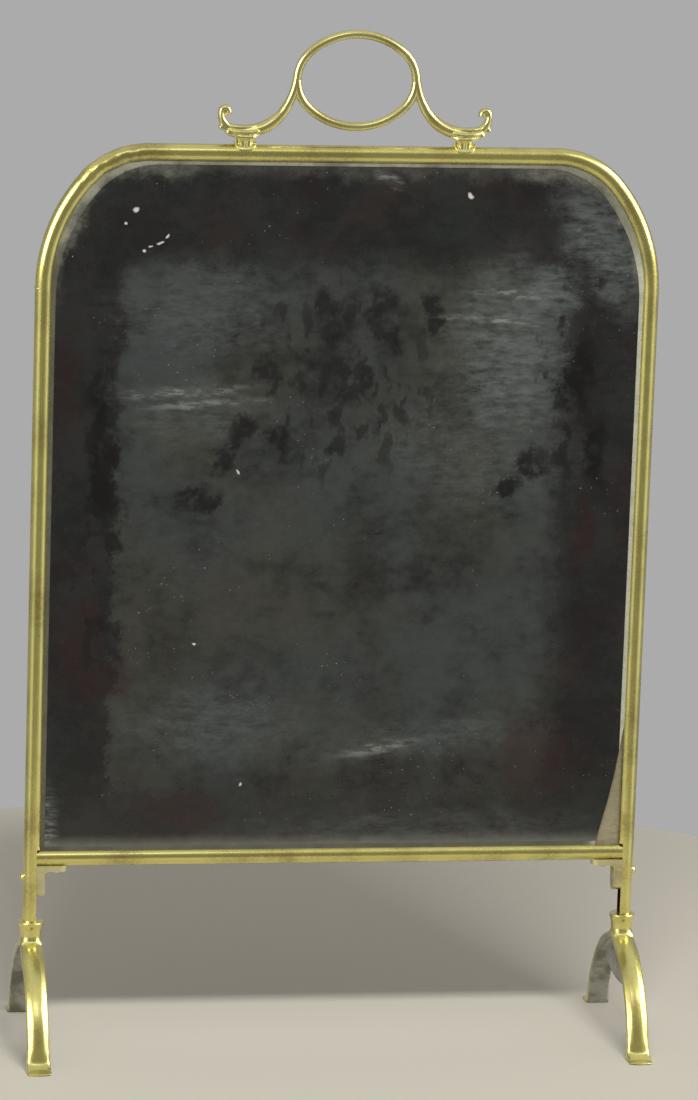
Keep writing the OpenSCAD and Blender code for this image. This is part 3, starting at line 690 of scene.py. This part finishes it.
def strap():
    """One leg in a single sweep, from just past the crown down the arch and out over the toe."""
    stations = []
    for turn in evenly(ARCH_START, TOE_TURN, ARCH_STEPS):
        out = outward(turn)
        skin = Vector((0, -LEG_BACK, -LEG_SINK)) + LEG_R * out
        bevel = LEG_BEVEL * eased(BEVEL_FADE, skin.z)
        stations.append(strap_station(skin, out, LEG_T, half_width(skin.z), bevel))
    for turn in evenly(TOE_TURN, 90, HOLLOW_STEPS)[1:]:
        out = outward(turn)
        skin = HOLLOW - TOE_HOLLOW * out
        thick = min(LEG_T, skin.z / max(out.z, 0.01))
        stations.append(strap_station(skin, out, thick, half_width(skin.z), 0.3 * LEG_BEVEL))
    run = TOE_REACH - HOLLOW.y
    for turn in evenly(0, 90, NOSE_STEPS)[1:]:
        ahead = outward(turn)
        past = max(0, run * ahead.z - (run - TOE_CORNER))
        half = half_width(0) - TOE_CORNER + math.sqrt(max(0, TOE_CORNER ** 2 - past ** 2))
        thick = TOE_T - NOSE_DROP * (1 - ahead.y) * (turn > 45)
        skin = Vector((0, HOLLOW.y + run * ahead.z, thick))
        stations.append(strap_station(skin, Vector((0, 0, 1)), thick, half, 0.1 * LEG_BEVEL))
    return swept(stations, STRAP_SIDES)


def heel():
    """Solid root under the arch of a leg, down to the floor, tucked a little inside the strap's skin."""
    back = math.sqrt((LEG_R - LEG_T) ** 2 - LEG_SINK ** 2) - LEG_BACK
    half = half_width(0)
    front = HOLLOW.y - TOE_HOLLOW * math.cos(math.radians(TOE_TURN))
    outline = ((back + 0.4 * MM, 0), (HOLLOW.y, 0), (HOLLOW.y, 0.8 * TOE_T), (front - 0.6 * MM, HEEL_Z),
               (back + 1.2 * MM, HEEL_Z))
    return extruded([(HEEL_TUCK - half, y, z) for y, z in outline], (2 * half - 2 * HEEL_TUCK, 0, 0))


def neck():
    """Turned neck that flares into the rim of the socket."""
    flare = math.acos(1 - (RIM_R - NECK_R) / FLARE_R)
    flare_z = RIM_Z - LIP_H - FLARE_R * math.sin(flare)
    profile = [(0, CROWN_Z - LEG_T), (NECK_R, CROWN_Z - LEG_T)]
    profile += [(NECK_R + FLARE_R * (1 - math.cos(turn)), flare_z + FLARE_R * math.sin(turn))
                for turn in evenly(0, flare, FLARE_STEPS)]
    profile += [(RIM_R, RIM_Z), (0, RIM_Z)]
    shape = bmesh.new()
    points = [shape.verts.new((r, 0, z)) for r, z in profile]
    for a, b in zip(points, points[1:]):
        shape.edges.new((a, b))
    bmesh.ops.spin(shape, geom=shape.verts[:] + shape.edges[:], cent=(0, 0, 0), axis=(0, 0, 1),
                   angle=math.tau, steps=TURNED_SIDES, use_merge=True)
    bmesh.ops.remove_doubles(shape, verts=shape.verts, dist=0.001 * MM)
    bmesh.ops.recalc_face_normals(shape, faces=shape.faces)
    return shape


def web():
    """Gusset between the legs, its lower edge sagging."""
    outline = [(y, WEB_Z + WEB_R - math.sqrt(WEB_R ** 2 - y ** 2))
               for y in evenly(-WEB_REACH, WEB_REACH, 24)]
    middle = LEG_R - LEG_T / 2
    outline += [(y, math.sqrt(middle ** 2 - (abs(y) + LEG_BACK) ** 2) - LEG_SINK)
                for y in evenly(WEB_REACH, -WEB_REACH, 16)]
    return extruded([(-WEB_T / 2, y, z) for y, z in outline], (WEB_T, 0, 0))


def foot(side):
    """The whole casting, its pieces run together and its inner corners filled by the flow of the metal. Each
    pass of smoothing takes in less of the metal, so a fillet is widest at the crown and at the toe."""
    shape = strap()
    joined(shape, heel())
    other = shape.copy()
    bmesh.ops.rotate(other, cent=(0, 0, 0), matrix=Matrix.Rotation(math.pi, 3, "Z"), verts=other.verts)
    joined(shape, other)
    joined(shape, neck())
    joined(shape, web())
    shape = melted(shape, FOOT_VOXEL, FOOT_PASSES)
    shoulder = [v for v in shape.verts if CROWN_Z - 9 * MM < v.co.z < CROWN_Z + 4.5 * MM]
    instep = [v for v in shape.verts if 2.6 * MM < v.co.z < 30 * MM and abs(v.co.y) > HOLLOW.y - 16 * MM]
    for share in evenly(0, 1, FILLET_PASSES)[:-1]:
        near = [v for v in shoulder if v.co.z > CROWN_Z - (9 - 7 * share) * MM]
        near += [v for v in instep if v.co.z < (30 - 23 * share) * MM]
        relaxed(shape, near)
    for vert in shape.verts:
        vert.co.z = max(vert.co.z, 0)
    bmesh.ops.translate(shape, vec=(side * FOOT_X, 0, 0), verts=shape.verts)
    return shape


for word, side in SIDES.items():
    finished(f"{word}_foot_casting", foot(side), FOOT, "cast_brass", f"{word}_foot")


# ---------------------------------------------------------------- handle

# The loop's half width and the radius of its ends, where an arm leaves it and how far it turns, the line of
# the leaf over the seat, its lift and its bow, then the rise and the curl of the volute.
LOOP_A = 43.2 * MM
LOOP_SIDE_R = 27 * MM
ARM_LEAVE = 6
ARM_TURN = 33
LEAF_RISE = 7.2 * MM
LEAF_LIFT = 10
LEAF_R = 45 * MM
RISE_R = 12 * MM
RISE_TURN = 88
CURL_R = 2.6 * MM
CURL_TURN = 190
SIDE_IN = LOOP_A - LOOP_SIDE_R
LOOP_TOP_R = (SIDE_IN ** 2 + LOOP_B ** 2 - LOOP_SIDE_R ** 2) / (2 * (LOOP_B - LOOP_SIDE_R))
LOOP_TURN = math.degrees(math.atan2(SIDE_IN, LOOP_TOP_R - LOOP_B))
# Half the height and half the depth of the casting, in radii of the loop's bar. A place counts the arcs.
HALF_HEIGHTS = ((2.6, 1), (3, 1.15), (3.5, 1.42), (3.8, 1.45), (4.2, 1.3), (5, 1.2), (5.45, 1.05),
                (5.8, 0.8), (6, 0.74), (6.7, 0.8), (7, 0.9))
HALF_DEPTHS = ((2.6, 1), (3, 1.19), (3.7, 1.66), (5, 1.3), (5.6, 1.06), (6, 0.95), (6.7, 1.0), (7, 1.05))
LEAF = Vector((SEAT_X, 0, SEAT_Z + LEAF_RISE))
HANDLE_SIDES = 60
CAST_VOXEL = 0.36 * MM
CAST_PASSES = 3
FLIP = Matrix.Diagonal((-1, 1, 1))


def handle_arcs():
    """Arcs of the right half, from the top of the loop to the volute: centre, radius, angles, side, steps."""
    side = Vector((SIDE_IN, 0, LOOP_Z))
    leave = side + LOOP_SIDE_R * direction(ARM_LEAVE)
    arm_way = direction(ARM_LEAVE) - direction(ARM_TURN)
    root_way = direction(ARM_TURN) - direction(90)
    reach = LEAF - leave
    across = arm_way.x * root_way.z - arm_way.z * root_way.x
    arm_r = (reach.x * root_way.z - reach.z * root_way.x) / across
    root_r = (arm_way.x * reach.z - arm_way.z * reach.x) / across
    arm = leave + arm_r * arm_way
    rise = LEAF + LEAF_R * (direction(90) - direction(90 + LEAF_LIFT))
    curl_from = LEAF_LIFT + RISE_TURN
    curl = rise + RISE_R * (direction(90 + LEAF_LIFT) - direction(90 + curl_from))
    return (
        (Vector((0, 0, LOOP_Z + LOOP_B - LOOP_TOP_R)), LOOP_TOP_R, 90, 90 - LOOP_TURN, 1, 24),
        (side, LOOP_SIDE_R, 90 - LOOP_TURN, ARM_LEAVE, 1, 20),
        (leave + arm_r * direction(ARM_LEAVE), arm_r, 180 + ARM_LEAVE, 180 + ARM_TURN, -1, 20),
        (arm + root_r * direction(ARM_TURN), root_r, 180 + ARM_TURN, 270, -1, 24),
        (LEAF + LEAF_R * direction(90), LEAF_R, 270, 270 + LEAF_LIFT, -1, 12),
        (rise + RISE_R * direction(90 + LEAF_LIFT), RISE_R, 270 + LEAF_LIFT, 270 + curl_from, -1, 18),
        (curl + CURL_R * direction(90 + curl_from), CURL_R, 270 + curl_from, 270 + curl_from + CURL_TURN,
         -1, 24))


def handle_station(point, out, place):
    """One ring of the casting: round on the loop, swollen where the arm turns into the leaf."""
    high = BAR_R * eased(HALF_HEIGHTS, place)
    deep = BAR_R * eased(HALF_DEPTHS, place)
    return lambda unit: point + high * unit.x * out + Vector((0, deep * unit.y, 0))


# The ridges of a leaf from top to bottom. Each has its way out from the pedestal, its drop under the leaf's
# line and its distance from the middle plane, in millimetres, from the arm to the bead that ends it.
RIDGES = (
    ((-17, -2.0, 1.0), (-6, -2.7, 2.6), (4, -2.4, 3.0), (16, -1.6, 1.2)),
    ((-15, 1.0, 3.0), (-5, 0.9, 4.9), (4, 1.0, 5.1), (17.6, 0.9, 1.6)),
    ((-10, 3.6, 3.4), (-4, 4.1, 5.3), (3, 4.1, 5.4), (12.6, 2.9, 3.0)),
)
RIDGE_R = 1.7 * MM
RIDGE_STEPS = 40
RIDGE_SIDES = 20
BEAD_R = 1.9 * MM
ROOT_R = 33 * MM
# Middle and half sizes of the cup of a leaf, in millimetres, the middle counted from the leaf's line.
CUP_PLACE = (1.5, -1.0)
CUP_SIZE = (13, 5.4, 4.6)


def ridge_station(side, front, knots, way, radius):
    """One ring of a ridge."""
    out_mm = knots[0][0] + (knots[-1][0] - knots[0][0]) * way
    bow = LEAF_R if out_mm > 0 else ROOT_R
    lift = bow - math.sqrt(bow ** 2 - (out_mm * MM) ** 2)
    drop = eased([(out, drop) for out, drop, _ in knots], out_mm) * MM
    deep = eased([(out, deep) for out, _, deep in knots], out_mm) * MM
    centre = LEAF + Vector((out_mm * MM, front * deep, lift - drop))
    return lambda unit: Vector((side * centre.x, centre.y + radius * unit.y, centre.z + radius * unit.x))


def leaf(shape, side):
    """Boat-shaped cup of a leaf with its ridges, front and back, each but the top one ended by a bead."""
    out_mm, rise_mm = CUP_PLACE
    place = Matrix.Translation((side * (LEAF.x + out_mm * MM), 0, LEAF.z + rise_mm * MM))
    bmesh.ops.create_icosphere(shape, subdivisions=4, radius=MM,
                               matrix=place @ Matrix.Diagonal((*CUP_SIZE, 1)))
    for front in (-1, 1):
        for knots in RIDGES:
            rings = ((i / RIDGE_STEPS, RIDGE_R * min(1, 0.35 + i / 12)) for i in range(RIDGE_STEPS + 1))
            joined(shape, swept([ridge_station(side, front, knots, *ring) for ring in rings], RIDGE_SIDES))
            if knots is not RIDGES[0]:
                ball(shape, ridge_station(side, front, knots, 1, 0)(Vector((0, 0))), BEAD_R)


def handle():
    """Upper half of the loop, both arms, leaves and volutes in one sweep, on two fluted pedestals."""
    right = []
    for i, (centre, radius, start, end, side, steps) in enumerate(handle_arcs()):
        for k in range(0 if i == 0 else 1, steps + 1):
            out = direction(start + (end - start) * k / steps)
            right.append((centre + radius * out, side * out, i + k / steps))
    left = [(FLIP @ point, FLIP @ out, place) for point, out, place in reversed(right[1:])]
    shape = swept([handle_station(*s) for s in left + right], HANDLE_SIDES)
    curl = handle_arcs()[-1][0]
    for side in SIDES.values():
        joined(shape, pedestal(side))
        leaf(shape, side)
        ball(shape, (side * curl.x, 0, curl.z), KNOB_R)
    return melted(shape, CAST_VOXEL, CAST_PASSES)


# A pedestal with its flutes, and the knob in the eye of a volute.
PEDESTAL_R = 5.7 * MM
PEDESTAL_TOP_R = 6.6 * MM
PEDESTAL_SIDES = 96
PEDESTAL_FLUTES = 12
FLUTE_DEPTH = 0.7 * MM
KNOB_R = 2.9 * MM


def pedestal(side):
    """Fluted neck, wider at the top, that goes down through the saddle to the rail."""
    shape = bmesh.new()
    base = Vector((side * SEAT_X, 0, TOP_Z + 1 * MM))
    neck_h = LEAF.z - base.z - 2 * MM
    middle = Matrix.Translation(base + Vector((0, 0, neck_h / 2)))
    for vert in bmesh.ops.create_cone(shape, cap_ends=True, segments=PEDESTAL_SIDES, radius1=PEDESTAL_R,
                                      radius2=PEDESTAL_TOP_R, depth=neck_h, matrix=middle)["verts"]:
        out = Vector((vert.co.x - base.x, vert.co.y, 0))
        dip = FLUTE_DEPTH * (1 - math.cos(PEDESTAL_FLUTES * math.atan2(out.y, out.x))) / 2
        vert.co -= dip * out.normalized()
    return shape


finished("handle_casting", handle(), BRIGHT, "bright_brass", "handle")

# A saddle: its half length, how far it wraps round the rail on each side, its thickness, its tips' lift.
SADDLE_HALF = (saddle_high.x - saddle_low.x) / 2 - 0.1 * MM
SADDLE_WRAP = 7.6 * MM
SADDLE_T = 1.5 * MM
TIP_LIFT = 2.2 * MM
SADDLE_SIDES = 48
SADDLE_VOXEL = 0.3 * MM


def saddle_station(x, way):
    """One ring of a saddle: a band bent round the rail, shorter and higher towards the two tips."""
    span = math.sqrt(1 - way * way)
    wrap = (0.9 * MM + SADDLE_WRAP * span) / TUBE_R
    low = TUBE_R - 0.2 * MM + TIP_LIFT * (1 - span) ** 2

    def place(unit):
        turn, radius = wrap * unit.x, low + SADDLE_T * (1 + unit.y) / 2
        return Vector((x, radius * math.sin(turn), TOP_Z + radius * math.cos(turn)))
    return place


def saddle(side):
    """Boat-shaped saddle that hugs the rail, its tips turned up beside the pedestal."""
    ways = (math.sin(math.radians(turn)) for turn in evenly(-90, 90, 60))
    shape = swept([saddle_station(side * SEAT_X + SADDLE_HALF * way, way) for way in ways], SADDLE_SIDES)
    return melted(shape, SADDLE_VOXEL, CAST_PASSES)


for word, side in SIDES.items():
    finished(f"{word}_saddle_casting", saddle(side), BRIGHT, "bright_brass", f"{word}_saddle")


# Where the lower bar starts inside the arm, and the fillet in its crotch: the angle round the loop's end and
# the radius.
BAR_START = 20
BAR_SIDES = 48
CROTCH_TURN = -24
CROTCH_R = 0.62 * BAR_R


def lower_bar():
    """Lower half of the loop, its thinned ends let into the arms, with a fillet of braze in each crotch."""
    side = Vector((SIDE_IN, 0, LOOP_Z))
    end = LOOP_TURN - 90
    middle = Vector((0, 0, LOOP_Z - LOOP_B + LOOP_TOP_R))
    right = [(side + LOOP_SIDE_R * direction(turn), direction(turn), min(1, 0.55 + (BAR_START - turn) / 50))
             for turn in evenly(BAR_START, end, 34)]
    right += [(middle + LOOP_TOP_R * direction(turn), direction(turn), 1)
              for turn in evenly(end, -90, 20)[1:]]
    left = [(FLIP @ point, FLIP @ out, size) for point, out, size in reversed(right[:-1])]
    shape = swept([bar_station(*s) for s in right + left], BAR_SIDES)
    crotch = side + (LOOP_SIDE_R + 1.2 * BAR_R) * direction(CROTCH_TURN)
    for way in SIDES.values():
        ball(shape, (way * crotch.x, 0, crotch.z), CROTCH_R)
    return melted(shape, CAST_VOXEL, CAST_PASSES)


def bar_station(point, out, size):
    """One ring of the round bar."""
    return lambda unit: point + size * BAR_R * (unit.x * out + Vector((0, unit.y, 0)))


finished("loop_bar_brazed", lower_bar(), BRIGHT, "bright_brass", "loop_lower_bar")


# ---------------------------------------------------------------- brazing on the hoop

# The bead: its radius, the angle at which it stops short of the middle of the slot, the size of its lumps,
# and how deep it sinks into the tube, by the way out from the tube's axis in radii of the tube.
BRAZE_R = 0.6 * MM
BRAZE_END = 34
BRAZE_LUMPS = 2.5 * MM
BRAZE_SUNK = ((-0.1, 0.62 * MM), (0.9, 0))


def braze_bead():
    """An uneven bead of braze where the left bend meets its upright, thick on the outer side and dying away
    inwards."""
    shape = bmesh.new()
    lip = math.radians(BRAZE_END)
    start = BEND_ROOT + (TUBE_R - 0.1 * MM) * Vector((-math.cos(lip), math.sin(lip), 0))
    out = (start - BEND_ROOT).normalized()
    axis = Vector((0, 0, 1))
    turn = Matrix((out, axis, out.cross(axis))).transposed().to_4x4()
    bmesh.ops.create_circle(shape, segments=12, radius=BRAZE_R, cap_ends=True,
                            matrix=Matrix.Translation(start) @ turn)
    bmesh.ops.spin(shape, geom=shape.faces[:], cent=BEND_ROOT, axis=axis, angle=2 * lip - math.tau, steps=60)
    for vert in shape.verts:
        out = Vector((vert.co.x - BEND_ROOT.x, vert.co.y, 0))
        sunk = eased(BRAZE_SUNK, out.x / TUBE_R)
        vert.co += 0.6 * BRAZE_R * noise.noise_vector(vert.co / BRAZE_LUMPS) - sunk * out.normalized()
    bmesh.ops.recalc_face_normals(shape, faces=shape.faces)
    return mirrored(shape)


finished("left_braze_bead", braze_bead(), TUBE, "tube_brass")


# ---------------------------------------------------------------- floor, light and camera

FLOOR_R = 690 * MM
FLOOR_SIDES = 128
FLOOR_Z = -0.2 * MM
FLAG_LOW, FLAG_HIGH = -2.4, 2.8


def plain(name, code, rough):
    """A plain studio surface."""
    material, _, shader, _ = new_material(name)
    feed(shader, {"Base Color": code, "Roughness": rough})
    return material


def stage_plane(name, corners, material):
    """A flat stage surface that isn't part of the object."""
    shape = bmesh.new()
    bmesh.ops.contextual_create(shape, geom=[shape.verts.new(c) for c in corners])
    piece = placed(name, shape)
    piece.data.materials.append(material)
    return piece


stage_plane("floor", [(FLOOR_R * math.cos(turn), FLOOR_R * math.sin(turn), FLOOR_Z)
                      for turn in evenly(0, math.tau, FLOOR_SIDES)[:-1]], plain("floor_grey", "#D0CABB", 0.8))
FLAG = plain("flag_grey", "#E0DED8", 0.9)
for name, (x0, y0), (x1, y1) in (("front_flag", (-3.4, -4.3), (2.4, -4.3)),
                                 ("left_flag", (-2.9, 3.4), (-2.9, -0.2)),
                                 ("right_flag", (2.9, -0.2), (2.9, 3.4))):
    edges = ((x0, y0, FLAG_LOW), (x1, y1, FLAG_LOW), (x1, y1, FLAG_HIGH), (x0, y0, FLAG_HIGH))
    flag = stage_plane(name, edges, FLAG)
    flag.visible_camera = False


def softbox(name, place, aim, size, radiance, in_metal=True, on_floor=True):
    """A rectangular studio lamp that faces aim; radiance 1 looks white."""
    lamp = bpy.data.lights.new(name, "AREA")
    lamp.shape = "RECTANGLE"
    lamp.size, lamp.size_y = size
    lamp.energy = radiance * math.pi * size[0] * size[1]
    holder = bpy.data.objects.new(name, lamp)
    holder.location = place
    holder.rotation_euler = (Vector(aim) - Vector(place)).to_track_quat("-Z", "Y").to_euler()
    holder.visible_camera = False
    holder.visible_glossy = in_metal
    holder.visible_diffuse = on_floor
    bpy.context.scene.collection.objects.link(holder)


MIDDLE = (0, 0, 0.38)
softbox("key", (0.1, -1.75, 2.5), MIDDLE, (1.5, 0.35), 40.0, False)
softbox("ceiling", (0, -0.3, 3.3), MIDDLE, (5.2, 4.4), 0.22)
softbox("front_strip", (-0.25, -1.55, 2.2), MIDDLE, (1.0, 0.6), 1.5, True, False)
softbox("left_wall", (-2.3, -1.3, -0.4), MIDDLE, (1.3, 1.6), 0.25)
softbox("right_wall", (2.3, -1.3, -0.4), MIDDLE, (1.3, 1.6), 0.35)
softbox("left_window", (-2.05, -1.4, 1.25), MIDDLE, (1.8, 1.5), 4.2, True, False)
softbox("right_window", (2.5, -0.8, 1.6), MIDDLE, (2.4, 2.1), 4.5, True, False)
softbox("knee_light", (1.1, -1.35, 2.1), MIDDLE, (0.4, 0.4), 3.0, True, False)


def studio_world():
    """Pale grey room: one grey for what the camera and the metal see, a little less for plain light."""
    world = bpy.data.worlds.new("studio")
    world.use_nodes = True
    world.node_tree.nodes.clear()
    add = functools.partial(node, world.node_tree)
    ray = add("LightPath", {}).outputs
    seen = add("Math", {0: ray["Is Camera Ray"], 1: ray["Is Glossy Ray"]}, operation="MAXIMUM")
    seen = add("Math", {0: seen, 1: ray["Is Transmission Ray"]}, operation="MAXIMUM")
    room = add("Background", {"Color": "#ABABAC", "Strength": where(add, (seen, 0.0, 1.0, 0.68, 1.0))})
    add("OutputWorld", {"Surface": room})
    bpy.context.scene.world = world


studio_world()


CAMERA_PLACE = (-0.5830, -3.4763, 1.1018)
# Turned to the right, down, and over to its left side
CAMERA_TURNS = (9.61, 11.73, 1.9)
LENS_MM = 107.48


def aim_camera():
    """Camera left of the middle and a little above, looking down, with a long lens."""
    yaw, pitch, roll = (math.radians(angle) for angle in CAMERA_TURNS)
    ahead = Vector((math.sin(yaw) * math.cos(pitch), math.cos(yaw) * math.cos(pitch), -math.sin(pitch)))
    level = Vector((math.cos(yaw), -math.sin(yaw), 0))
    lift = level.cross(ahead)
    right = math.cos(roll) * level + math.sin(roll) * lift
    up = math.cos(roll) * lift - math.sin(roll) * level
    lens = bpy.data.cameras.new("camera")
    lens.sensor_fit = "VERTICAL"
    lens.sensor_height = 24.0
    lens.lens = LENS_MM
    holder = bpy.data.objects.new("camera", lens)
    turned = Matrix((right, up, -ahead)).transposed().to_4x4()
    holder.matrix_world = Matrix.Translation(CAMERA_PLACE) @ turned
    bpy.context.scene.collection.objects.link(holder)
    bpy.context.scene.camera = holder


aim_camera()
bpy.context.scene.view_settings.view_transform = "Standard"


def corners(box):
    """A pair of corners as plain numbers."""
    return [[float(value) for value in corner] for corner in box]
